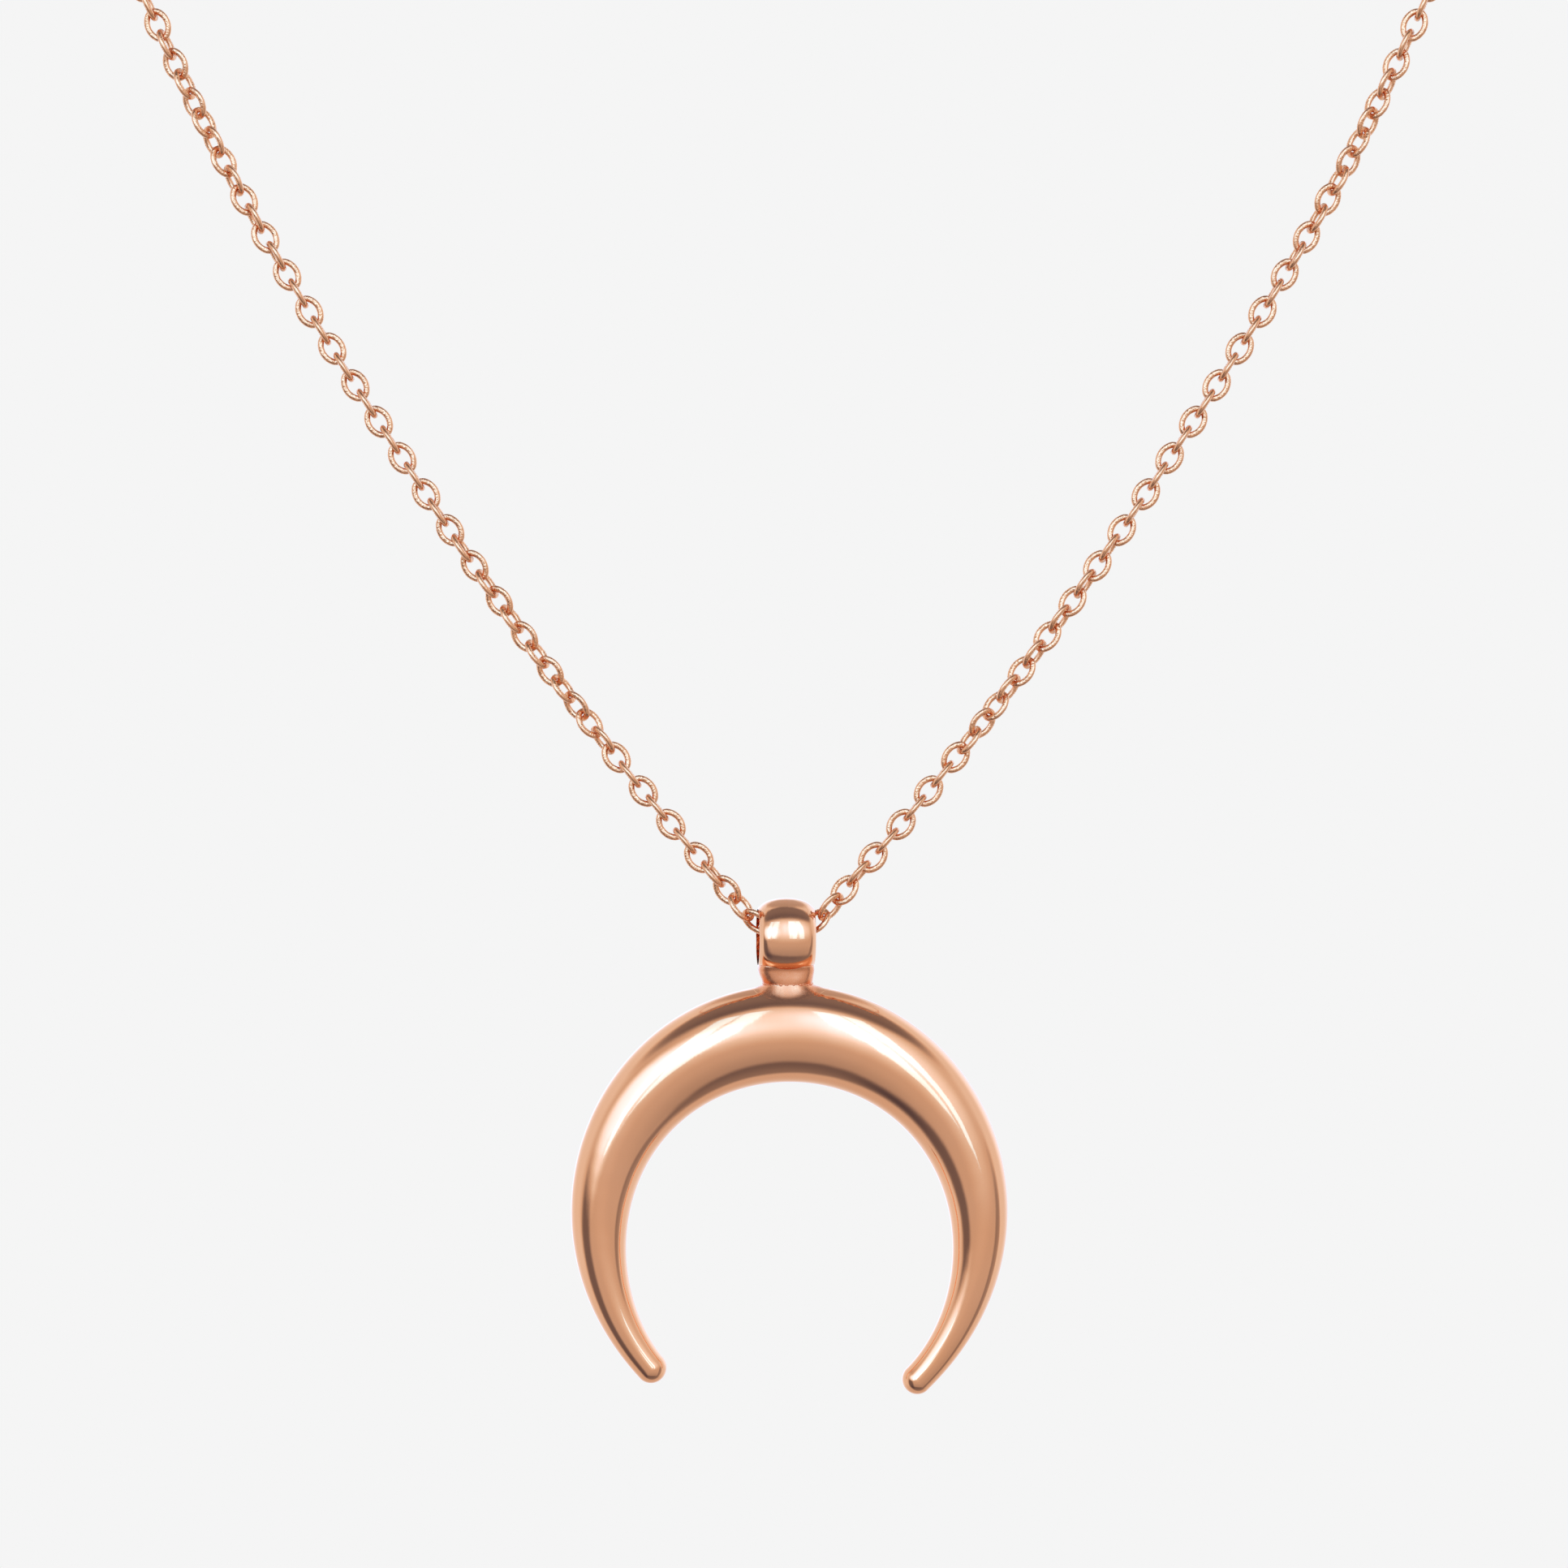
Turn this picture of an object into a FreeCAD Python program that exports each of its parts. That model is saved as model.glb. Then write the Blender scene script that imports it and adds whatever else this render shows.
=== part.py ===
import FreeCAD
import Part
import os
from math import atan2, cos, pi, radians, sin

# Pendant necklace, in millimetres. It hangs as worn: +Z is up, the front faces -Y,
# and the origin is the middle of the loop that goes round the neck.

# Chain
WIRE_D = 0.36
LINK_LENGTH = 2.00
LINK_WIDTH = 1.53
LINK_END_R = 0.45
LINKS_PER_LEVEL = 13
LEVELS = 5
SIDE_LINKS = 178

# Hang of the chain: half of the V as (x, height over the bail centre), in one plane
BAIL_Z = -92.0
DRAPE_Y = -36.0
DRAPE = [
    (0.0, 0.24),
    (0.62, 0.29),
    (1.70, 0.79),
    (2.62, 1.78),
    (5.07, 4.65),
    (9.80, 10.39),
    (15.11, 17.39),
    (23.45, 29.69),
    (30.99, 42.15),
    (35.99, 52.22),
    (42.60, 68.80),
]
# From the top of the V round the side of the neck to the clasp: (x, y, height)
NECK = [
    (46.10, -33.60, 77.40),
    (52.00, -21.00, 85.40),
    (57.00, -2.00, 91.60),
    (56.00, 20.00, 96.80),
    (46.00, 41.00, 101.60),
    (28.00, 55.50, 105.20),
    (10.00, 59.95, 107.00),
]
CLASP_Y = 60.0
CLASP_Z = 107.0
END_LINK_X = 7.22

# Roll of the even links about the chain, as (link number from the bail, degrees)
ROLL = [
    (0, -45),
    (2, -45),
    (4, -28),
    (6, 0),
    (11, 0),
    (16, 60),
    (21, 66),
    (27, 90),
    (37, 90),
    (43, 110),
    (48, 142),
    (52, 172),
    (56, 180),
    (178, 180),
]

# Bail: a domed ring round the X axis, turned a little about Z, with a neck under it
BAIL_HALF_W = 1.61
BAIL_SHOULDER = (1.29, 1.97)
BAIL_R = 2.23
BAIL_HOLE_R = 1.71
BAIL_LIP_R = 1.62
BAIL_TURN = 4
SEAM_Z = -2.70

# Bail neck as rounded oblongs: (height, middle x, half width, half depth, corner radius)
NECK_RINGS = [
    (-1.00, 0.00, 1.50, 1.20, 0.60),
    (-1.40, 0.00, 1.62, 1.22, 0.60),
    (-1.75, 0.00, 1.67, 1.22, 0.65),
    (-2.20, 0.03, 1.57, 1.21, 0.80),
    (SEAM_Z, 0.10, 1.40, 1.20, 1.10),
]
# Solder saddle as ellipses: (height, middle x, half width, half depth)
SADDLE_RINGS = [
    (SEAM_Z, 0.10, 1.42, 1.22),
    (-2.80, 0.12, 1.60, 1.27),
    (-2.92, 0.15, 1.95, 1.36),
    (-3.15, 0.18, 2.20, 1.50),
    (-3.80, 0.20, 2.32, 1.68),
]

# Crescent: stations as (degrees from the top, radius of the middle line,
# half width, half depth), about a centre below the bail
CRESCENT_DROP = 15.61
CRESCENT_SHIFT = 0.20
STATIONS = [
    (0, 10.07, 2.78, 2.24),
    (20, 10.09, 2.73, 2.20),
    (40, 10.23, 2.50, 2.05),
    (60, 10.38, 2.20, 1.85),
    (80, 10.62, 1.86, 1.62),
    (100, 11.01, 1.55, 1.40),
    (120, 11.50, 1.17, 1.11),
    (132, 11.82, 0.98, 0.96),
]
LEFT_TIP = (138.8, 12.04, 0.91)
RIGHT_TIP = (143, 12.17, 0.88)

# Lobster claw clasp: x along it, z across it, y through it
CLAW_HALF_T = 0.70
EYE_X = -3.75
EYE_R = 0.85
EYE_HOLE_R = 0.42
EYE_HALF_T = 0.40
SLOT_HALF = 0.36
LEVER_HALF = 0.33
PIVOT = (-1.35, 1.02)
RIVET_R = 0.28
LEVER_BORE_R = 0.30
GATE_REACH = 3.24
CLAW_SHIFT = -0.04
CLAW_RING = (-5.33, 1.50, 0.25)
CATCH_RING = (4.94, 2.00, 0.28)


def vec(x, y, z):
    return FreeCAD.Vector(x, y, z)


def arc(a, b, c):
    return Part.Arc(a, b, c).toShape()


def line(a, b):
    return Part.makeLine(a, b)


def make_link():
    """Oval ring of round wire in the XY plane, long way along X."""
    a = (LINK_LENGTH - WIRE_D) / 2
    b = (LINK_WIDTH - WIRE_D) / 2
    d = a - LINK_END_R
    e = b - LINK_END_R
    drop = (d * d - e * e) / (2 * e)
    side_r = b + drop
    turn = atan2(drop, d)
    px = d + LINK_END_R * cos(turn)
    py = LINK_END_R * sin(turn)
    ends = [vec(px, py, 0), vec(-px, py, 0), vec(-px, -py, 0), vec(px, -py, 0)]
    mids = [vec(0, side_r - drop, 0), vec(-a, 0, 0), vec(0, -b, 0), vec(a, 0, 0)]
    edges = [arc(ends[i], mids[i], ends[(i + 1) % 4]) for i in range(4)]
    path = Part.Wire(edges)
    tangent = vec(-sin(turn), cos(turn), 0)
    ring = Part.Wire([Part.makeCircle(WIRE_D / 2, ends[0], tangent)])
    return path.makePipeShell([ring], True, True)


def make_route():
    """The right half of the chain's middle line, with its start and end parameters."""
    drape = [vec(x, DRAPE_Y, BAIL_Z + z) for x, z in DRAPE]
    neck = [vec(x, y, BAIL_Z + z) for x, y, z in NECK]
    before = vec(-drape[1].x, drape[1].y, drape[1].z)
    end = vec(END_LINK_X, CLASP_Y, BAIL_Z + CLASP_Z)
    after = vec(-END_LINK_X, CLASP_Y, BAIL_Z + CLASP_Z)
    curve = Part.BSplineCurve()
    curve.interpolate([before] + drape + neck + [end, after])
    return curve, curve.parameter(drape[0]), curve.parameter(end)


def contact_point(route, pitch, k):
    """Where link k touches the next one up. The V hangs in one plane."""
    curve, start, _ = route
    point = curve.value(curve.parameterAtDistance(k * pitch, start))
    if k <= LEVELS * LINKS_PER_LEVEL:
        point.y = DRAPE_Y
    return point


def roll_of(k):
    for (k0, r0), (k1, r1) in zip(ROLL, ROLL[1:]):
        if k <= k1:
            return r0 + (r1 - r0) * (k - k0) / (k1 - k0) + 90 * (k % 2)
    return 90 * (k % 2)


def place_link(link, low, high, roll, side):
    """A link between two contacts of the right half, or in the left half for side -1."""
    point = (low + high) * 0.5
    along = high - low
    along.normalize()
    level = vec(along.y, -along.x, 0)
    level.normalize()
    across = along.cross(level)
    face = level * cos(radians(roll)) + across * sin(radians(side * roll))
    x_axis = vec(side * along.x, along.y, along.z)
    z_axis = vec(side * face.x, face.y, face.z)
    y_axis = z_axis.cross(x_axis)
    turn = FreeCAD.Rotation(x_axis, y_axis, z_axis, "XZY")
    put = link.copy()
    put.Placement = FreeCAD.Placement(vec(side * point.x, point.y, point.z), turn)
    return put


def chain(side, first, last):
    """Links number first to last of one half, each a separate solid."""
    route = make_route()
    pitch = route[0].length(route[1], route[2]) / (SIDE_LINKS - 0.5)
    link = make_link()
    links = []
    for k in range(first, last + 1):
        low = contact_point(route, pitch, k - 1)
        high = contact_point(route, pitch, k)
        links.append(place_link(link, low, high, roll_of(k), side))
    return Part.makeCompound(links)


def ellipse_at(z, x, half_w, half_d):
    long_way = vec(1, 0, 0) if half_w >= half_d else vec(0, 1, 0)
    short_way = vec(0, 1, 0) if half_w >= half_d else vec(1, 0, 0)
    middle = vec(x, 0, z)
    big = max(half_w, half_d)
    small = min(half_w, half_d)
    edge = Part.Ellipse(middle + long_way * big, middle + short_way * small, middle)
    return Part.Wire([edge.toShape()])


def horn_section(angle, mid_r, half_w, half_d):
    """One ellipse of the crescent, in four quarters, at an angle from the top."""
    out = vec(sin(radians(angle)), 0, cos(radians(angle)))
    middle = out * mid_r - vec(0, 0, CRESCENT_DROP)
    edge = Part.Ellipse(middle - out * half_w, middle + vec(0, half_d, 0), middle)
    starts = [pi / 4 + i * pi / 2 for i in range(4)]
    return Part.Wire([Part.ArcOfEllipse(edge, a, a + pi / 2).toShape() for a in starts])


def make_crescent():
    rows = [(-a, r, w, d) for a, r, w, d in reversed(STATIONS[1:])] + STATIONS
    left = (-LEFT_TIP[0], LEFT_TIP[1], LEFT_TIP[2], LEFT_TIP[2] - 0.001)
    right = (RIGHT_TIP[0], RIGHT_TIP[1], RIGHT_TIP[2], RIGHT_TIP[2] - 0.001)
    wires = [horn_section(*row) for row in [left] + rows + [right]]
    horn = Part.makeLoft(wires, True, False)
    for angle, mid_r, radius in ((-LEFT_TIP[0],) + LEFT_TIP[1:], RIGHT_TIP):
        out = vec(sin(radians(angle)), 0, cos(radians(angle)))
        horn = horn.fuse(Part.makeSphere(radius, out * mid_r - vec(0, 0, CRESCENT_DROP)))
    horn.translate(vec(CRESCENT_SHIFT, 0, 0))
    return horn.removeSplitter()


def oblong_at(z, x, half_w, half_d, corner):
    """A rounded oblong at a height, as four sides and four corner arcs."""
    w, d = half_w - corner, half_d - corner
    c = corner * cos(pi / 4)
    edges = []
    for sx, sy in ((1, 1), (-1, 1), (-1, -1), (1, -1)):
        side = vec(x + sx * half_w, sy * d, z)
        end = vec(x + sx * w, sy * half_d, z)
        middle = vec(x + sx * (w + c), sy * (d + c), z)
        first, last = (side, end) if sx * sy > 0 else (end, side)
        edges.append(arc(first, middle, last))
        far = vec(x - sx * w, sy * half_d, z)
        near = vec(x + sx * half_w, -sy * d, z)
        edges.append(line(last, far if sx * sy > 0 else near))
    return Part.Wire(edges)


def make_bail():
    w = BAIL_HALF_W
    lip = BAIL_LIP_R
    sx, sr = BAIL_SHOULDER
    dome = [
        line(vec(-w, 0, 0), vec(-w, 0, lip)),
        arc(vec(-w, 0, lip), vec(-1.48, 0, 1.77), vec(-sx, 0, sr)),
        arc(vec(-sx, 0, sr), vec(0, 0, BAIL_R), vec(sx, 0, sr)),
        arc(vec(sx, 0, sr), vec(1.48, 0, 1.77), vec(w, 0, lip)),
        line(vec(w, 0, lip), vec(w, 0, 0)),
        line(vec(w, 0, 0), vec(-w, 0, 0)),
    ]
    barrel = Part.Face(Part.Wire(dome)).revolve(vec(0, 0, 0), vec(1, 0, 0), 360)
    bore = [
        line(vec(-2, 0, 0), vec(-2, 0, lip + 0.25)),
        line(vec(-2, 0, lip + 0.25), vec(-1.54, 0, lip - 0.01)),
        arc(vec(-1.54, 0, lip - 0.01), vec(0, 0, BAIL_HOLE_R), vec(1.54, 0, lip - 0.01)),
        line(vec(1.54, 0, lip - 0.01), vec(2, 0, lip + 0.25)),
        line(vec(2, 0, lip + 0.25), vec(2, 0, 0)),
        line(vec(2, 0, 0), vec(-2, 0, 0)),
    ]
    hole = Part.Face(Part.Wire(bore)).revolve(vec(0, 0, 0), vec(1, 0, 0), 360)
    for shape in (barrel, hole):
        shape.rotate(vec(0, 0, 0), vec(0, 0, 1), BAIL_TURN)
    neck = Part.makeLoft([oblong_at(*ring) for ring in NECK_RINGS], True, False)
    return barrel.fuse(neck).cut(hole)


def make_saddle(crescent):
    """The solder between the bail's neck and the top of the crescent."""
    foot = Part.makeLoft([ellipse_at(*ring) for ring in SADDLE_RINGS], True, False)
    return foot.cut(crescent)


def slab(edges, half_t):
    """An outline in the XZ plane made into a plate of thickness 2 x half_t."""
    face = Part.Face(Part.Wire(edges))
    face.translate(vec(0, -half_t, 0))
    return face.extrude(vec(0, 2 * half_t, 0))


def pin(x, z, radius, half_t):
    return Part.makeCylinder(radius, 2 * half_t, vec(x, -half_t, z), vec(0, 1, 0))


def claw_outline(half_t):
    tail_top = vec(-3.2, 0, 0.55)
    tail_low = vec(-3.2, 0, -0.55)
    top = arc(tail_top, vec(0.6, 0, 2.15), vec(3.6, 0, 1.25))
    nose = arc(vec(3.6, 0, 1.25), vec(4.35, 0, 0), vec(3.6, 0, -1.25))
    low = arc(vec(3.6, 0, -1.25), vec(0.6, 0, -2.15), tail_low)
    return slab([top, nose, low, line(tail_low, tail_top)], half_t)


def claw_hole(half_t):
    top = arc(vec(-0.75, 0, 0), vec(1.35, 0, 1.25), vec(3.45, 0, 0))
    low = arc(vec(3.45, 0, 0), vec(1.35, 0, -1.25), vec(-0.75, 0, 0))
    return slab([top, low], half_t)


def box(x0, x1, z0, z1, half_t):
    return Part.makeBox(x1 - x0, 2 * half_t, z1 - z0, vec(x0, -half_t, z0))


def make_claw_body():
    plate = claw_outline(CLAW_HALF_T).cut(claw_hole(1))
    gate = box(-0.75, 3.0, 0.0, 3.0, 1).common(pin(*PIVOT, GATE_REACH + 0.06, 1))
    slot = box(-2.75, -0.4, 0.0, 3.0, SLOT_HALF)
    eye = pin(EYE_X, 0, EYE_R, EYE_HALF_T).fuse(box(EYE_X, -2.9, -0.5, 0.5, EYE_HALF_T))
    body = plate.cut(gate).cut(slot).fuse(eye)
    body = body.cut(pin(EYE_X, 0, EYE_HOLE_R, 1))
    return body.cut(pin(*PIVOT, RIVET_R, 1)).removeSplitter()


def make_claw_lever():
    """The gate, its tongue round the rivet and the thumb tab over the tail."""
    gate = claw_outline(LEVER_HALF).cut(claw_hole(1))
    gate = gate.common(box(-1.35, 3.0, 0.45, 3.0, 1)).common(pin(*PIVOT, GATE_REACH, 1))
    tongue = pin(*PIVOT, 0.62, LEVER_HALF)
    tab = slab(
        [
            line(vec(-1.25, 0, 1.55), vec(-2.05, 0, 2.45)),
            arc(vec(-2.05, 0, 2.45), vec(-2.45, 0, 2.50), vec(-2.50, 0, 2.15)),
            line(vec(-2.50, 0, 2.15), vec(-1.85, 0, 1.10)),
            line(vec(-1.85, 0, 1.10), vec(-1.25, 0, 1.55)),
        ],
        LEVER_HALF,
    )
    lever = gate.fuse(tongue).fuse(tab)
    return lever.cut(pin(*PIVOT, LEVER_BORE_R, 1)).removeSplitter()


def flat_ring(x, ring_r, wire_r):
    return Part.makeTorus(ring_r, wire_r, vec(x, 0, 0), vec(0, 0, 1))


def to_pendant(shape):
    shape.translate(vec(0, DRAPE_Y, BAIL_Z))
    return shape


def to_clasp(shape):
    shape.translate(vec(CLAW_SHIFT, CLASP_Y, BAIL_Z + CLASP_Z))
    return shape


def save(name, shape):
    shape.exportStep("parts/" + name + ".step")


os.makedirs("parts", exist_ok=True)

crescent = make_crescent()
save("bail", to_pendant(make_bail()))
save("solder_saddle", to_pendant(make_saddle(crescent)))
save("crescent", to_pendant(crescent))

for side, name in ((-1, "left"), (1, "right")):
    for level in range(LEVELS):
        first = 1 + level * LINKS_PER_LEVEL
        label = name + "_leg_" + str(LEVELS - level)
        save(label, chain(side, first, first + LINKS_PER_LEVEL - 1))
    top = LEVELS * LINKS_PER_LEVEL
    middle = (top + SIDE_LINKS) // 2
    save(name + "_shoulder", chain(side, top + 1, middle))
    save(name + "_nape", chain(side, middle + 1, SIDE_LINKS))

save("claw_body", to_clasp(make_claw_body()))
save("claw_lever", to_clasp(make_claw_lever()))
save("claw_rivet", to_clasp(pin(*PIVOT, RIVET_R, CLAW_HALF_T)))
save("claw_ring", to_clasp(flat_ring(*CLAW_RING)))
save("catch_ring", to_clasp(flat_ring(*CATCH_RING)))

route = make_route()
half = route[0].length(route[1], route[2])
print("half chain", half, "pitch", half / (SIDE_LINKS - 0.5))
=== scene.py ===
import random
from math import atan2, cos, hypot, pi, radians, sin, sqrt

import bpy
import numpy as np
from mathutils import Matrix, Vector


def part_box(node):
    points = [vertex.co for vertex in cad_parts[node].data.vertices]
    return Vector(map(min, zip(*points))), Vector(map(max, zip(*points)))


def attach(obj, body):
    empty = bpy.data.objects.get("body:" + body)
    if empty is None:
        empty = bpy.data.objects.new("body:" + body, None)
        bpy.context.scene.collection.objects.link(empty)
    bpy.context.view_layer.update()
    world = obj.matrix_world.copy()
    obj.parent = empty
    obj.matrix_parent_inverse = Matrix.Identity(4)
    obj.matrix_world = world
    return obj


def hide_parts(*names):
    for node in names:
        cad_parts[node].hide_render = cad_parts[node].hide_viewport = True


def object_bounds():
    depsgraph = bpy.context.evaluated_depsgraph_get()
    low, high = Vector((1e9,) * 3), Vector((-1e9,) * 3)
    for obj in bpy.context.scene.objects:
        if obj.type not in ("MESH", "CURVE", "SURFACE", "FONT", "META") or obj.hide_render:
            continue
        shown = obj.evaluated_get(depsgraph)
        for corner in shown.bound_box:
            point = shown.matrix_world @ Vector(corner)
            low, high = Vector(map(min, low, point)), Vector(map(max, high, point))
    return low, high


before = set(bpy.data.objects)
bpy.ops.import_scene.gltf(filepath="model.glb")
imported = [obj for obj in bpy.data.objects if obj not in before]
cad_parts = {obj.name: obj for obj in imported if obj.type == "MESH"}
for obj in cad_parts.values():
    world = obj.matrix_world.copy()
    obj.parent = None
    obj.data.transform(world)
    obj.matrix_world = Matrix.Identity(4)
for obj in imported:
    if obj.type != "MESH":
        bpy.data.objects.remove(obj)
cad_low, cad_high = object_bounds()

# Sizes are in millimetres, in the row frame's directions, and MM makes them metres.
MM = 0.001

# What the picture takes in, at the plane that the pendant hangs in
VIEW_WIDTH = 89.84
VIEW_ABOVE_BAIL = 6.53
VIEW_LEFT = 0.11
LENS = 100.0
SENSOR = 36.0

# The floor's place and size, and the strip lights that face the bail, in metres
FLOOR_DROP = 0.12
FLOOR_R = 3.0
STRIP_TURNS = (-25, -13, 15, 27)
STRIP_RISE = 23
STRIP_SIZE = (0.09, 0.58)
STRIP_DISTANCE = 0.6
STRIP_WATTS = 0.32

# Chain links, each an oval of round wire
WIRE_R = 0.18
LINK_HALF_L = 0.82
LINK_HALF_W = 0.585
LINK_END_R = 0.45

# Facets: how deep the deepest is, what every face loses, and how much of a facet's
# depth reaches the ridge between it and the next
DENT = 0.042
WORN = 0.004
RIDGE = 0.15

# Bail ring: its crown, and its profile as (across, radius, radius at the top and
# bottom) from the crown to the bore. The shoulders are rounder at the top.
CROWN_R = 2.23
BAIL_TURN = 4
RING_PROFILE = [
    (0.00, 2.230, 2.230),
    (0.45, 2.208, 2.202),
    (0.85, 2.150, 2.118),
    (1.12, 2.082, 2.022),
    (1.28, 2.020, 1.935),
    (1.39, 1.955, 1.855),
    (1.46, 1.885, 1.795),
    (1.52, 1.800, 1.735),
    (1.57, 1.725, 1.690),
    (1.60, 1.665, 1.655),
    (1.605, 1.630, 1.630),
    (1.575, 1.618, 1.618),
    (1.20, 1.658, 1.658),
    (0.60, 1.699, 1.699),
    (0.00, 1.710, 1.710),
]
OUTER_ROWS = 10

# Solder under the ring: (height, middle x, half width, half depth, squareness), then
# the beaded seam and the flared foot
NECK = [
    (-1.68, 0.00, 1.580, 1.36, 3.8),
    (-1.80, 0.00, 1.605, 1.30, 3.7),
    (-1.92, 0.01, 1.60, 1.255, 3.6),
    (-2.12, 0.02, 1.56, 1.235, 3.4),
    (-2.42, 0.06, 1.48, 1.22, 3.0),
    (-2.62, 0.09, 1.42, 1.20, 2.6),
]
SEAM = (-2.70, 0.10, 1.40, 1.185, 2.4)
FOOT = (0.20, 2.25, 1.68)
FOOT_STEPS = 22
CAP = (1.55, 1.26)
CAP_SHARES = (0.04, 0.3, 0.55, 0.8, 0.93, 1.0)
BEADS = 36
BEAD_RINGS = 6
BEAD_AROUND = 10

# Crescent: (degrees from the top, middle radius, half width, half depth)
CRESCENT_DROP = 15.61
CRESCENT_SHIFT = 0.20
STATIONS = [
    (0, 10.07, 2.78, 2.24),
    (20, 10.09, 2.73, 2.20),
    (40, 10.23, 2.50, 2.05),
    (60, 10.38, 2.20, 1.85),
    (80, 10.62, 1.86, 1.62),
    (100, 11.01, 1.55, 1.40),
    (120, 11.50, 1.17, 1.11),
    (132, 11.82, 0.98, 0.96),
    (138, 12.02, 0.91, 0.91),
    (143, 12.17, 0.88, 0.88),
]
LEFT_END = -138.8
RIGHT_END = 143
CRESCENT_RINGS = 221

# Linear colours of the metal, seen straight on
ROSE_GOLD = (0.92, 0.452, 0.245)
PINK_GOLD = (0.88, 0.420, 0.215)
# Solder: redder and darker than the rose gold. This is painted shade under the ring and
# painted reflection of the gold ring and crescent.
SOLDER_PAINTED_SHADE_GOLD = (0.88, 0.345, 0.165)
PAPER = (0.913, 0.913, 0.913)
STRIP_COLOUR = (0.12, 0.50, 1.0)

# The studio's light is neutral up to GLARE. Above it red falls off, to RED_MOST, and
# blue gains, so highlights whiten. Shade has a little more blue.
GLARE = 0.7
RED_LOSS = 0.45
RED_MOST = 1.1
BLUE_GAIN = 0.5
SHADE_BLUE = 0.06

# Scales of the metal's patterns, in repeats per metre
SWELL_SCALE = 260.0
FINE_SCALE = 5200.0
DRAWN_SCALE = (9000.0, 1400.0, 1400.0)
FACET_SCALE = 9200.0

# Where a jump ring is sawn, half the cut's angle and how far its ends are worn
SAW_AT = 62
SAW_GAP = 1.6
SAW_EDGE = 0.93


# ---------------------------------------------------------------- node helpers


class Nodes:
    """A short way to build a node tree."""

    def __init__(self, tree):
        self.tree = tree
        tree.nodes.clear()

    def add(self, kind, inputs=(), **settings):
        node = self.tree.nodes.new(kind)
        for name, value in settings.items():
            setattr(node, name, value)
        for name, value in dict(inputs).items():
            socket = node.inputs[name]
            if isinstance(value, bpy.types.NodeSocket):
                self.tree.links.new(value, socket)
            else:
                socket.default_value = value
        return node

    def math(self, operation, a, b):
        node = self.add("ShaderNodeMath", {0: a, 1: b}, operation=operation)
        return node.outputs[0]

    def ramp(self, value, low, high, out_low, out_high):
        """A smooth step from out_low to out_high as value goes from low to high."""
        names = {"Value": value, "From Min": low, "From Max": high}
        names.update({"To Min": out_low, "To Max": out_high})
        node = self.add("ShaderNodeMapRange", names, interpolation_type="SMOOTHSTEP")
        return node.outputs["Result"]


# ---------------------------------------------------------------- camera and light


def towards(right, up):
    """The direction that many degrees to the right of and above the front."""
    away = radians(hypot(right, up))
    turn = atan2(up, right)
    return Vector((sin(away) * cos(turn), -cos(away), sin(away) * sin(turn)))


def make_camera():
    bail_low, bail_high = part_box("bail")
    middle = (bail_low + bail_high) / 2
    data = bpy.data.cameras.new("camera")
    data.lens = LENS
    data.sensor_width = SENSOR
    data.clip_start = 0.01
    data.clip_end = 20
    camera = bpy.data.objects.new("camera", data)
    distance = VIEW_WIDTH * MM * LENS / SENSOR
    height = bail_high.z + VIEW_ABOVE_BAIL * MM
    camera.location = (-VIEW_LEFT * MM, middle.y - distance, height)
    camera.rotation_euler = (pi / 2, 0, 0)
    bpy.context.collection.objects.link(camera)
    bpy.context.scene.camera = camera


def patch(n, direction, facing, size, soft):
    """1 in an oval patch of the surroundings, falling smoothly to 0 outside it."""
    look = facing.to_track_quat("Y", "Z").to_euler()
    place = n.add(
        "ShaderNodeMapping",
        {
            "Vector": direction,
            "Location": facing,
            "Rotation": look,
            "Scale": (size[0], 1.0, size[1]),
        },
        vector_type="TEXTURE",
    )
    length = n.add(
        "ShaderNodeVectorMath", {0: place.outputs["Vector"]}, operation="LENGTH"
    )
    return n.ramp(length.outputs["Value"], 1 - soft, 1 + soft, 1.0, 0.0)


# Dark cards over, under, low at each side and behind over the top, then soft boxes in
# front, at the left and behind: where (degrees right, up), half size as a part of the
# distance, softness, and what they do to the light there
DARK_CARDS = [
    ((0, 80), (0.80, 0.40), 0.30, 0.25),
    ((5, -75), (0.65, 0.30), 0.45, 0.40),
    ((-50, -30), (0.30, 0.60), 0.55, 0.30),
    ((70, -30), (0.20, 0.50), 0.50, 0.45),
    ((0, 125), (0.35, 0.40), 0.40, 0.50),
]
BRIGHT_BOXES = [
    ((10, 25), (0.60, 0.45), 0.60, 0.85),
    ((15, 25), (0.20, 0.30), 0.60, 0.60),
    ((-35, 15), (0.40, 0.30), 0.50, 1.30),
    ((120, 60), (0.35, 0.35), 0.60, 0.35),
    ((-150, 60), (0.35, 0.35), 0.60, 0.35),
]


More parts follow.
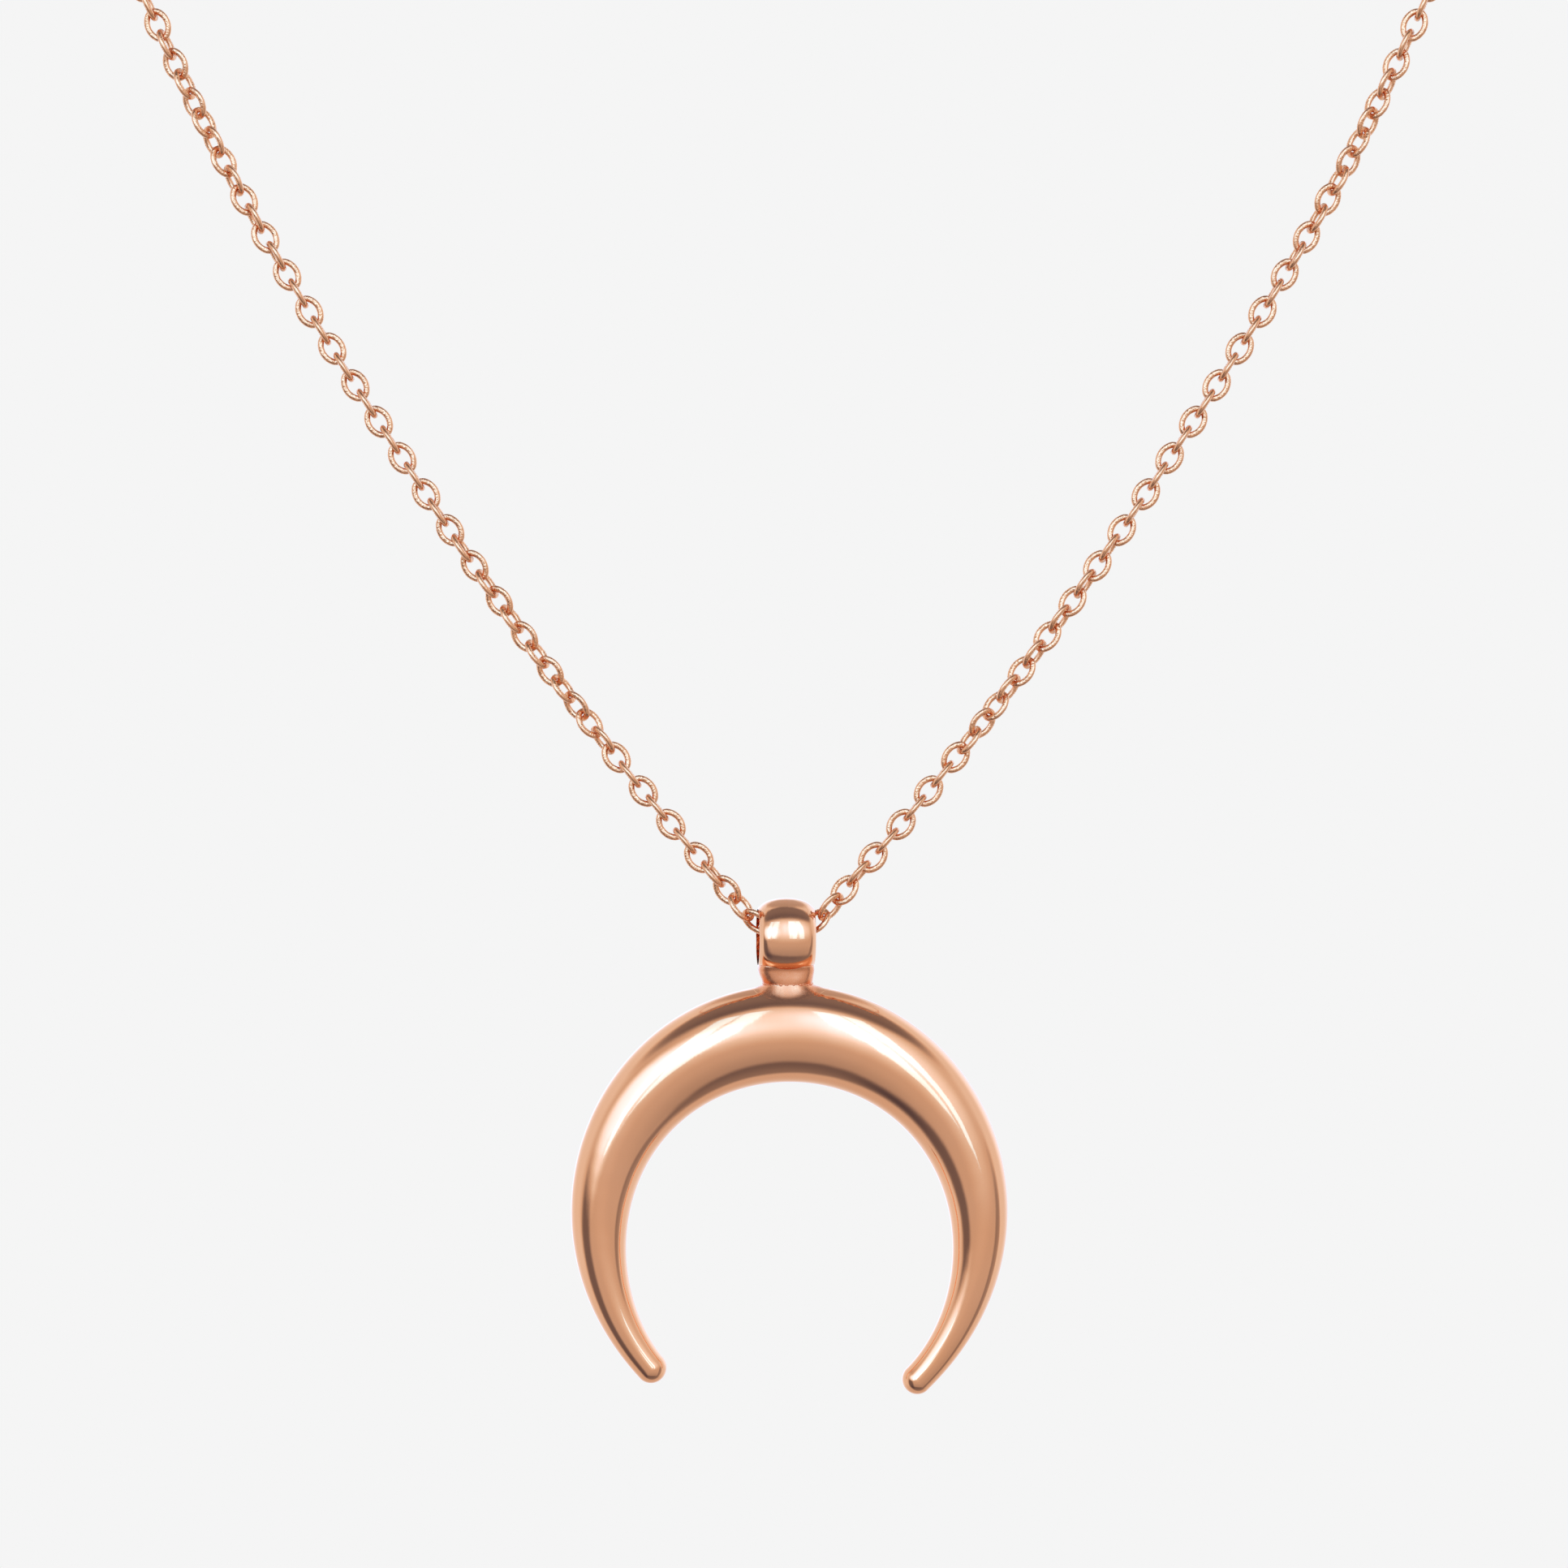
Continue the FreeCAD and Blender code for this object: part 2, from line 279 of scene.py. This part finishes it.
def make_world():
    world = bpy.data.worlds.new("studio")
    bpy.context.scene.world = world
    world.use_nodes = True
    n = Nodes(world.node_tree)
    direction = n.add("ShaderNodeTexCoord").outputs["Generated"]
    split = n.add("ShaderNodeSeparateXYZ", {0: direction})
    back = split.outputs["Y"]
    up = split.outputs["Z"]
    light = n.ramp(back, -0.5, 0.0, 0.65, 1.0)
    light = n.math("ADD", light, n.ramp(back, 0.3, 0.9, 0.0, 0.20))
    light = n.math("MULTIPLY", light, n.ramp(up, -0.9, -0.3, 0.7, 1.0))
    for (right, high), size, soft, keep in DARK_CARDS:
        shade = patch(n, direction, towards(right, high), size, soft)
        light = n.math("MULTIPLY", light, n.ramp(shade, 0, 1, 1.0, keep))
    for (right, high), size, soft, power in BRIGHT_BOXES:
        glow = patch(n, direction, towards(right, high), size, soft)
        light = n.math("ADD", light, n.math("MULTIPLY", glow, power))
    strong = n.math("MAXIMUM", n.math("SUBTRACT", light, GLARE), 0.0)
    weak = n.math("MAXIMUM", n.math("SUBTRACT", 1.0, light), 0.0)
    red = n.math("SUBTRACT", light, n.math("MULTIPLY", strong, RED_LOSS))
    gain = n.math("ADD", n.math("MULTIPLY", strong, BLUE_GAIN), 1.0)
    blue = n.math("MULTIPLY", light, gain)
    blue = n.math("ADD", blue, n.math("MULTIPLY", weak, SHADE_BLUE))
    red = n.math("MINIMUM", red, RED_MOST)
    channels = {"Red": red, "Green": light, "Blue": blue}
    colour = n.add("ShaderNodeCombineColor", channels)
    studio = n.add("ShaderNodeBackground", {"Color": colour.outputs["Color"]})
    paper = n.add("ShaderNodeBackground", {"Color": PAPER + (1,)})
    seen = n.add("ShaderNodeLightPath").outputs["Is Camera Ray"]
    both = n.add(
        "ShaderNodeMixShader",
        {0: seen, 1: studio.outputs[0], 2: paper.outputs[0]},
    )
    n.add("ShaderNodeOutputWorld", {"Surface": both.outputs[0]})


def make_strip(name, right):
    """A tall narrow soft box, turned to the bail."""
    middle = (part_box("bail")[0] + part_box("bail")[1]) / 2
    data = bpy.data.lights.new(name, "AREA")
    data.shape = "RECTANGLE"
    data.size, data.size_y = STRIP_SIZE
    data.energy = STRIP_WATTS
    data.color = STRIP_COLOUR
    lamp = bpy.data.objects.new(name, data)
    direction = towards(right, STRIP_RISE)
    lamp.location = middle + direction * STRIP_DISTANCE
    lamp.rotation_euler = direction.to_track_quat("Z", "Y").to_euler()
    lamp.visible_camera = False
    bpy.context.collection.objects.link(lamp)


def make_floor():
    low = cad_low.z - FLOOR_DROP
    bpy.ops.mesh.primitive_circle_add(
        vertices=96, radius=FLOOR_R, fill_type="NGON", location=(0, 0, low)
    )
    floor = bpy.context.object
    floor.name = "floor"
    paint = bpy.data.materials.new("pale_floor")
    paint.use_nodes = True
    n = Nodes(paint.node_tree)
    glow = n.add("ShaderNodeEmission", {"Color": PAPER + (1,)})
    n.add("ShaderNodeOutputMaterial", {"Surface": glow.outputs[0]})
    floor.data.materials.append(paint)
    floor.visible_glossy = False
    floor.visible_diffuse = False


# ---------------------------------------------------------------- materials


def metal(name, colour, gloss, wave, grain, hammer=0, unshaded_colour=None):
    """Polished metal: gloss is (low, high) roughness. In microns, wave is how much
    the polish leaves the surface uneven, grain how deep the fine marks are and hammer
    how deep the struck facets are. A thin edge can fade to another colour. On the
    solder this takes the painted shade and painted reflection away towards the plain rose
    gold."""
    paint = bpy.data.materials.new(name)
    paint.use_nodes = True
    n = Nodes(paint.node_tree)
    place = n.add("ShaderNodeTexCoord").outputs["Object"]
    swelling = {"Vector": place, "Scale": SWELL_SCALE, "Detail": 2.0}
    broad = n.add("ShaderNodeTexNoise", swelling)
    fine = n.add("ShaderNodeTexNoise", {"Vector": place, "Scale": FINE_SCALE, "Detail": 3.0})
    drawn = n.add(
        "ShaderNodeMapping",
        {"Vector": place, "Scale": DRAWN_SCALE, "Rotation": (0.3, 0.5, 0.8)},
    )
    marks = n.add(
        "ShaderNodeTexNoise",
        {"Vector": drawn.outputs["Vector"], "Scale": 1.0, "Detail": 2.0},
    )
    warm = tuple(c * f for c, f in zip(colour, (1.0, 0.96, 0.90))) + (1,)
    pale = tuple(min(1, c * f) for c, f in zip(colour, (1.0, 1.04, 1.10))) + (1,)
    tint = n.add(
        "ShaderNodeMix",
        {"Factor": broad.outputs["Fac"], 6: warm, 7: pale},
        data_type="RGBA",
    )
    rough = n.ramp(fine.outputs["Fac"], 0.3, 0.7, gloss[0], gloss[1])
    base = tint.outputs[2]
    # Out on the thin foot, the painted shade and painted reflection in the base colour fade
    # to the plain colour
    if unshaded_colour:
        thin = n.add("ShaderNodeAttribute", attribute_name="thin").outputs["Fac"]
        thin = n.ramp(thin, 0.25, 0.85, 0.0, 1.0)
        base = n.add(
            "ShaderNodeMix",
            {"Factor": thin, 6: base, 7: unshaded_colour + (1,)},
            data_type="RGBA",
        ).outputs[2]
        rough = n.math("MULTIPLY", rough, n.ramp(thin, 0, 1, 1.0, 0.45))
    swell = n.add(
        "ShaderNodeBump",
        {"Height": broad.outputs["Fac"], "Distance": wave * 1e-6, "Strength": 1.0},
    )
    scratch = n.add(
        "ShaderNodeBump",
        {
            "Height": marks.outputs["Fac"],
            "Distance": grain * 1e-6,
            "Strength": 1.0,
            "Normal": swell.outputs["Normal"],
        },
    )
    normal = scratch.outputs["Normal"]
    if hammer:
        struck = n.add("ShaderNodeAttribute", attribute_name="hammered").outputs["Fac"]
        cells = n.add(
            "ShaderNodeTexVoronoi",
            {"Vector": place, "Scale": FACET_SCALE},
            feature="SMOOTH_F1",
        )
        height = n.math("MULTIPLY", cells.outputs["Distance"], struck)
        normal = n.add(
            "ShaderNodeBump",
            {"Height": height, "Distance": hammer * 1e-6, "Strength": 1.0, "Normal": normal},
        ).outputs["Normal"]
    shader = n.add(
        "ShaderNodeBsdfPrincipled",
        {"Base Color": base, "Metallic": 1.0, "Roughness": rough, "Normal": normal},
    )
    n.add("ShaderNodeOutputMaterial", {"Surface": shader.outputs[0]})
    return paint


# ---------------------------------------------------------------- mesh helpers


def piece(name, verts, faces, paint, body, node):
    """A new smooth mesh piece, in metres, that stands for a CAD node."""
    mesh = bpy.data.meshes.new(name)
    mesh.from_pydata([tuple(v) for v in verts], [], faces)
    mesh.validate()
    mesh.shade_smooth()
    return finish_piece(name, mesh, paint, body, node)


def finish_piece(name, mesh, paint, body, node):
    mesh.materials.clear()
    mesh.materials.append(paint)
    made = bpy.data.objects.new(name, mesh)
    bpy.context.collection.objects.link(made)
    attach(made, body)
    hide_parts(node)
    return made


def tube_faces(rings, around, closed, start=0):
    """Quads between rings of points, and between the last and first if closed."""
    faces = []
    for i in range(rings if closed else rings - 1):
        low = start + i * around
        high = start + ((i + 1) % rings) * around
        for j in range(around):
            k = (j + 1) % around
            faces.append((low + j, low + k, high + k, high + j))
    return faces


def smooth_line(points, steps):
    """A Catmull-Rom curve through points, as a numpy array."""
    p = np.array(points, float)
    p = np.vstack([2 * p[0] - p[1], p, 2 * p[-1] - p[-2]])
    out = []
    for a, b, c, d in zip(p, p[1:], p[2:], p[3:]):
        for t in np.linspace(0, 1, steps, endpoint=False):
            line = 2 * b + (c - a) * t + (2 * a - 5 * b + 4 * c - d) * t**2
            out.append(0.5 * (line + (3 * b - a - 3 * c + d) * t**3))
    out.append(p[-2])
    return np.array(out)


# ---------------------------------------------------------------- chain


def link_line(count):
    """Points along a link's oval middle line, with their outward directions."""
    d = LINK_HALF_L - LINK_END_R
    e = LINK_HALF_W - LINK_END_R
    drop = (d * d - e * e) / (2 * e)
    side_r = LINK_HALF_W + drop
    turn = atan2(drop, d)
    side_turn = pi / 2 - turn
    lengths = [LINK_END_R * 2 * turn, side_r * 2 * side_turn] * 2
    total = sum(lengths)
    points = []
    for i in range(count):
        s = (i / count * total + lengths[0] / 2) % total
        part = 0
        while s > lengths[part]:
            s -= lengths[part]
            part += 1
        half = pi * (part // 2)
        if part % 2 == 0:
            angle = -turn + s / LINK_END_R
            middle = (d, 0.0)
            radius = LINK_END_R
        else:
            angle = turn + s / side_r
            middle = (0.0, -drop)
            radius = side_r
        x = middle[0] + radius * cos(angle)
        y = middle[1] + radius * sin(angle)
        ox, oy = cos(angle), sin(angle)
        c, z = cos(half), sin(half)
        outward = (c * ox - z * oy, z * ox + c * oy)
        points.append(((c * x - z * y, z * x + c * y), outward))
    return points


def make_link_shape(cells, around, seed):
    """One hammered link about the origin, long way along X, faces along Z."""
    draw = random.Random(seed)
    line = link_line(cells * 2)
    verts = []
    deep = [0.0] * around
    for i, ((x, y), (ox, oy)) in enumerate(line):
        middle = i % 2 == 0
        for j in range(around):
            t = 2 * pi * j / around
            face = abs(sin(t)) ** 1.5
            if middle:
                deep[j] = DENT * draw.uniform(0.25, 1.0) * face + WORN
            dent = deep[j] if middle else RIDGE * deep[j]
            r = WIRE_R - dent
            verts.append((x + ox * r * cos(t), y + oy * r * cos(t), r * sin(t)))
    struck = [abs(sin(2 * pi * j / around)) ** 1.5 for j in range(around)]
    return np.array(verts), tube_faces(len(line), around, True), struck * len(line)


def links_of(node):
    """Place and axes of each link of a CAD node: a list of (middle, 3 x 3 axes)."""
    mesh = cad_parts[node].data
    count = len(mesh.vertices)
    co = np.empty(count * 3)
    mesh.vertices.foreach_get("co", co)
    co = co.reshape(-1, 3)
    edges = np.empty(len(mesh.edges) * 2, dtype=np.int64)
    mesh.edges.foreach_get("vertices", edges)
    edges = edges.reshape(-1, 2)
    tris = np.empty(len(mesh.polygons) * 3, dtype=np.int64)
    mesh.polygons.foreach_get("vertices", tris)
    tris = tris.reshape(-1, 3)
    key = np.round(co * 1e7).astype(np.int64)
    _, first, same = np.unique(key, axis=0, return_index=True, return_inverse=True)
    twins = np.column_stack([np.arange(count), first[same.ravel()]])
    pairs = np.concatenate([edges, twins])
    opened = np.bincount(pairs.min(1), minlength=count + 1)
    closed = np.bincount(pairs.max(1), minlength=count + 1)
    loose = np.flatnonzero(np.cumsum(opened - closed)[:count] == 0) + 1
    starts = [0] + [int(s) for s in loose]
    found = []
    for low, high in zip(starts, starts[1:]):
        corners = co[tris[(tris[:, 0] >= low) & (tris[:, 0] < high)]]
        sides = np.cross(corners[:, 1] - corners[:, 0], corners[:, 2] - corners[:, 0])
        area = np.linalg.norm(sides, axis=1)
        area = area / area.sum()
        middles = corners.mean(1)
        centre = (middles * area[:, None]).sum(0)
        offset = middles - centre
        spread = (offset[:, :, None] * offset[:, None, :] * area[:, None, None]).sum(0)
        axes = np.linalg.eigh(spread)[1]
        along = axes[:, 2] * (1 if axes[2, 2] >= 0 else -1)
        across = axes[:, 1] * (1 if axes[0, 1] >= 0 else -1)
        found.append((centre, np.column_stack([along, across, np.cross(along, across)])))
    return found


def make_links(node, body, shapes, paint):
    verts = []
    faces = []
    struck = []
    for i, (centre, axes) in enumerate(links_of(node)):
        shape, quads, hammered = shapes[i % len(shapes)]
        start = len(struck)
        verts.append(shape * MM @ axes.T + centre)
        faces += [tuple(start + k for k in quad) for quad in quads]
        struck += hammered
    points = np.vstack(verts)
    links = piece("links_" + node, points, faces, paint, body, node)
    values = links.data.attributes.new("hammered", "FLOAT", "POINT")
    values.data.foreach_set("value", struck)


# ---------------------------------------------------------------- pendant


def bail_centre():
    low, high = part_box("bail")
    return Vector(((low.x + high.x) / 2, (low.y + high.y) / 2, high.z - CROWN_R * MM))


def place(points, origin):
    return [tuple(origin[i] + p[i] * MM for i in range(3)) for p in points]


def make_bail(origin, paint):
    """A domed ring round the X axis."""
    half = smooth_line(RING_PROFILE, 6)
    back = half[-2:0:-1] * (-1, 1, 1)
    profile = np.vstack([half, back])
    steps = 144
    turn = Matrix.Rotation(radians(BAIL_TURN), 3, "Z")
    points = []
    for i in range(steps):
        a = 2 * pi * i / steps
        for x, side_r, top_r in profile:
            r = side_r + (top_r - side_r) * sin(a) ** 2
            points.append(turn @ Vector((x, r * cos(a), r * sin(a))))
    faces = [f[::-1] for f in tube_faces(steps, len(profile), True)]
    points = place(points, origin)
    return piece("bail_ring", points, faces, paint, "pendant", "bail")


def crescent_shape():
    """Middle radius, half width and half depth as even polynomials of the angle."""
    table = np.array(STATIONS, float)
    a = table[:, 0] / 100
    powers = np.column_stack([a ** (2 * k) for k in range(5)])
    fits = [np.linalg.lstsq(powers, table[:, c], rcond=None)[0] for c in (1, 2, 3)]

    def at(angle):
        row = [(angle / 100) ** (2 * k) for k in range(5)]
        return [float(np.dot(row, fit)) for fit in fits]

    return at


def make_crescent(origin, paint):
    """Rings of an ellipse along the crescent, closed by rounded tips."""
    at = crescent_shape()
    around = 72
    cap = 12
    rings = []
    for angle in np.linspace(LEFT_END, RIGHT_END, CRESCENT_RINGS):
        rings.append((angle, *at(angle), 0.0))
    for end, side in ((LEFT_END, -1), (RIGHT_END, 1)):
        mid_r, half_w, half_d = at(end)
        tip = []
        for k in range(1, cap):
            turn = pi / 2 * k / cap
            shrink = cos(turn)
            past = side * (half_w * sin(turn))
            tip.append((end, mid_r, half_w * shrink, half_d * shrink, past))
        rings = tip[::-1] + rings if side < 0 else rings + tip
    points = []
    for angle, mid_r, half_w, half_d, past in rings:
        out = (sin(radians(angle)), cos(radians(angle)))
        on = (cos(radians(angle)), -sin(radians(angle)))
        for j in range(around):
            t = 2 * pi * j / around
            r = mid_r + half_w * cos(t)
            x = CRESCENT_SHIFT + out[0] * r + on[0] * past
            z = out[1] * r + on[1] * past - CRESCENT_DROP
            points.append((x, half_d * sin(t), z))
    faces = tube_faces(len(rings), around, False)
    for end, ring, past in ((LEFT_END, 0, -1), (RIGHT_END, len(rings) - 1, 1)):
        mid_r, half_w, _ = at(end)
        out = (sin(radians(end)), cos(radians(end)))
        on = (cos(radians(end)), -sin(radians(end)))
        x = CRESCENT_SHIFT + out[0] * mid_r + on[0] * past * half_w
        z = out[1] * mid_r + on[1] * past * half_w - CRESCENT_DROP
        points.append((x, 0, z))
        top = len(points) - 1
        for j in range(around):
            k = (j + 1) % around
            a, b = ring * around + j, ring * around + k
            faces.append((top, b, a) if past < 0 else (top, a, b))
    points = place(points, origin)
    return piece("crescent_horns", points, faces, paint, "pendant", "crescent")


def crescent_top(at, x, y):
    """Height of the crescent's upper surface over a point near its middle."""
    mid_r, half_w, half_d = at(0)
    reach = mid_r + half_w * sqrt(max(0.0, 1 - (y / half_d) ** 2))
    return sqrt(reach * reach - (x - CRESCENT_SHIFT) ** 2) - CRESCENT_DROP


def rounded(t, x, half_x, half_y, squareness):
    """A point on a superellipse."""
    c = abs(cos(t)) ** (2 / squareness) * (1 if cos(t) >= 0 else -1)
    s = abs(sin(t)) ** (2 / squareness) * (1 if sin(t) >= 0 else -1)
    return x + half_x * c, half_y * s


def ring_wall(x, y):
    """Height, under the ring, of the middle of its wall."""
    across, _, radii = zip(*RING_PROFILE)
    outer = np.interp(abs(x), across[:OUTER_ROWS], radii[:OUTER_ROWS])
    inner = np.interp(abs(x), across[:OUTER_ROWS:-1], radii[:OUTER_ROWS:-1])
    radius = outer + inner
    return -sqrt(max(0.4, (radius / 2) ** 2 - y * y))


def add_beads(points, faces):
    """The row of small uneven beads of solder round the seam."""
    draw = random.Random(5)
    for i in range(BEADS):
        t = 2 * pi * (i + draw.uniform(-0.25, 0.25)) / BEADS
        long_r = draw.uniform(0.08, 0.17)
        high_r = draw.uniform(0.035, 0.070)
        x, y = rounded(t, SEAM[1], SEAM[2] + 0.01, SEAM[3] + 0.01, SEAM[4])
        on = Vector((-SEAM[2] * sin(t), SEAM[3] * cos(t), 0)).normalized()
        out = Vector((on.y, -on.x, 0))
        lift = SEAM[0] + draw.uniform(-0.035, 0.035)
        start = len(points)
        for ring in range(1, BEAD_RINGS + 1):
            p = pi * ring / (BEAD_RINGS + 1)
            for k in range(BEAD_AROUND):
                q = 2 * pi * k / BEAD_AROUND
                r = 1 + draw.uniform(-0.08, 0.08)
                d = on * long_r * cos(p) + out * high_r * sin(p) * cos(q) * r
                points.append((x + d.x, y + d.y, lift + high_r * sin(p) * sin(q) * r))
        last = start + (BEAD_RINGS - 1) * BEAD_AROUND
        faces += tube_faces(BEAD_RINGS, BEAD_AROUND, False, start)
        faces.append(tuple(range(start + BEAD_AROUND - 1, start - 1, -1)))
        faces.append(tuple(range(last, last + BEAD_AROUND)))


def make_saddle(origin, paint):
    """The soldered neck under the ring, its beaded seam and its flared foot."""
    at = crescent_shape()
    around = 144
    turns = [2 * pi * j / around for j in range(around)]
    points = []
    turn = Matrix.Rotation(radians(BAIL_TURN), 3, "Z")
    for share in CAP_SHARES:
        half_x, half_y = CAP[0] * share, CAP[1] * share
        for t in turns:
            px, py = rounded(t, 0, half_x, half_y, NECK[0][4])
            points.append(turn @ Vector((px, py, ring_wall(px, py))))
    for z, *oval in smooth_line(NECK + [SEAM], 5):
        upper = (z - SEAM[0]) / (NECK[0][0] - SEAM[0])
        turn = Matrix.Rotation(radians(BAIL_TURN) * upper, 3, "Z")
        points += [turn @ Vector(rounded(t, *oval) + (z,)) for t in turns]
    # The foot hugs the crescent, and its last rows dip just under the surface
    for step in range(1, FOOT_STEPS + 1):
        f = step / (FOOT_STEPS - 2)
        x, a, b = (s + (e - s) * f for s, e in zip(SEAM[1:4], FOOT))
        for t in turns:
            lumps = 0.020 * sin(3 * t + 1) + 0.012 * sin(5 * t) + 0.008 * sin(8 * t + 2)
            grow = 1 + lumps * f
            px, py = rounded(t, x, a * grow, b * grow, SEAM[4] + (2.1 - SEAM[4]) * f)
            rest = crescent_top(at, px, py) - 0.004 * f - 0.30 * max(0.0, f - 0.98)
            lift = SEAM[0] - crescent_top(at, *rounded(t, *SEAM[1:]))
            points.append((px, py, rest + lift * max(0.0, 1 - f) ** 2.6))
    count = len(points) // around
    faces = [f[::-1] for f in tube_faces(count, around, False)]
    faces.append(tuple(range(around)))
    faces.append(tuple(reversed(range((count - 1) * around, count * around))))
    add_beads(points, faces)
    points = place(points, origin)
    neck = piece("solder_neck", points, faces, paint, "pendant", "solder_saddle")
    # How far out along the thin foot each row is. The solder's painted shade and painted
    # reflection fade out by it.
    thin = neck.data.attributes.new("thin", "FLOAT", "POINT")
    rows = [0.0] * (count - FOOT_STEPS)
    rows += [step / FOOT_STEPS for step in range(1, FOOT_STEPS + 1)]
    values = [f for f in rows for _ in turns]
    thin.data.foreach_set("value", values + [0.0] * (len(points) - len(values)))


# ---------------------------------------------------------------- clasp


def cast_copy(name, node, voxel, smooth, paint, body):
    """A CAD node with its edges rounded as a casting's are, worked on in millimetres."""
    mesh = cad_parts[node].data.copy()
    mesh.transform(Matrix.Scale(1 / MM, 4))
    rough = bpy.data.objects.new(name + "_rough", mesh)
    bpy.context.collection.objects.link(rough)
    weld = rough.modifiers.new("weld", "WELD")
    weld.merge_threshold = 0.0005
    grid = rough.modifiers.new("grid", "REMESH")
    grid.mode = "VOXEL"
    grid.voxel_size = voxel
    soften = rough.modifiers.new("soften", "SMOOTH")
    soften.factor = 0.5
    soften.iterations = smooth
    seen = rough.evaluated_get(bpy.context.evaluated_depsgraph_get())
    made = bpy.data.meshes.new_from_object(seen)
    bpy.data.objects.remove(rough)
    made.transform(Matrix.Scale(MM, 4))
    made.name = name
    made.shade_smooth()
    return finish_piece(name, made, paint, body, node)


def make_jump_ring(name, node, paint):
    """A ring of round wire whose two sawn ends meet with a hair's gap."""
    low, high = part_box(node)
    middle = (low + high) / 2
    wire_r = (high.z - low.z) / 2
    ring_r = (high.x - low.x) / 2 - wire_r
    around = 16
    steps = 96
    gap = radians(SAW_GAP)
    points = []
    for i in range(steps):
        a = radians(SAW_AT) + gap + (2 * pi - 2 * gap) * i / (steps - 1)
        edge = SAW_EDGE if i in (0, steps - 1) else 1.0
        for j in range(around):
            t = 2 * pi * j / around
            r = ring_r + wire_r * cos(t) * edge
            points.append((r * cos(a), r * sin(a), wire_r * sin(t) * edge))
    points = [middle + Vector(p) for p in points]
    faces = tube_faces(steps, around, False)
    faces.append(tuple(range(around)))
    faces.append(tuple(reversed(range((steps - 1) * around, steps * around))))
    faces = [f[::-1] for f in faces]
    return piece(name, points, faces, paint, "neck_chain", node)


def make_rivet(paint):
    """A turned pin with two peened heads, inside the CAD pin's box."""
    low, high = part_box("claw_rivet")
    middle = (low + high) / 2
    radius = (high.x - low.x) / 2
    half = (high.y - low.y) / 2
    profile = [(0.35, 1.0), (0.68, 0.985), (0.88, 0.955), (0.98, 0.90), (1.0, 0.82)]
    profile += [(0.985, 0.5), (0.98, 0.0)]
    profile += [(r, -y) for r, y in reversed(profile[:-1])]
    around = 40
    points = []
    for r, y in profile:
        for j in range(around):
            t = 2 * pi * j / around
            offset = (r * radius * cos(t), y * half, r * radius * sin(t))
            points.append(middle + Vector(offset))
    faces = tube_faces(len(profile), around, False)
    faces.append(tuple(reversed(range(around))))
    faces.append(tuple(range((len(profile) - 1) * around, len(profile) * around)))
    return piece("rivet_pin", points, faces, paint, "neck_chain", "claw_rivet")


# ---------------------------------------------------------------- the scene

make_camera()
make_world()
for number, right in enumerate(STRIP_TURNS):
    make_strip("strip_" + str(number), right)
make_floor()

chain_paint = metal("chain_rose_gold", PINK_GOLD, (0.16, 0.30), 3.0, 4.0, hammer=30)
horn_paint = metal("crescent_rose_gold", ROSE_GOLD, (0.06, 0.10), 40.0, 0.6)
bail_paint = metal("bail_rose_gold", ROSE_GOLD, (0.07, 0.13), 20.0, 0.4)
# The solder's colour carries painted shade under the ring and painted reflection of the gold
# around it
solder_shade_paint = metal(
    "solder_painted_shade_gold", SOLDER_PAINTED_SHADE_GOLD, (0.24, 0.34), 60.0, 3.0, unshaded_colour=ROSE_GOLD
)
clasp_paint = metal("clasp_rose_gold", ROSE_GOLD, (0.12, 0.22), 20.0, 1.0)
rivet_paint = metal("rivet_rose_gold", ROSE_GOLD, (0.18, 0.28), 8.0, 2.0)

near_links = [make_link_shape(34, 12, seed) for seed in range(1, 6)]
far_links = [make_link_shape(24, 10, seed) for seed in range(11, 14)]
for side in ("left", "right"):
    for level in range(1, 6):
        node = side + "_leg_" + str(level)
        make_links(node, "v_level_" + str(level), near_links, chain_paint)
    for part in ("shoulder", "nape"):
        make_links(side + "_" + part, "neck_chain", far_links, chain_paint)

centre = bail_centre()
make_bail(centre, bail_paint)
make_saddle(centre, solder_shade_paint)
make_crescent(centre, horn_paint)
cast_copy("claw_casting", "claw_body", 0.05, 10, clasp_paint, "neck_chain")
cast_copy("claw_gate", "claw_lever", 0.035, 8, clasp_paint, "clasp_gate")
make_rivet(rivet_paint)
make_jump_ring("jump_ring", "claw_ring", clasp_paint)
make_jump_ring("catch_jump_ring", "catch_ring", clasp_paint)

bpy.context.scene.view_settings.view_transform = "Standard"
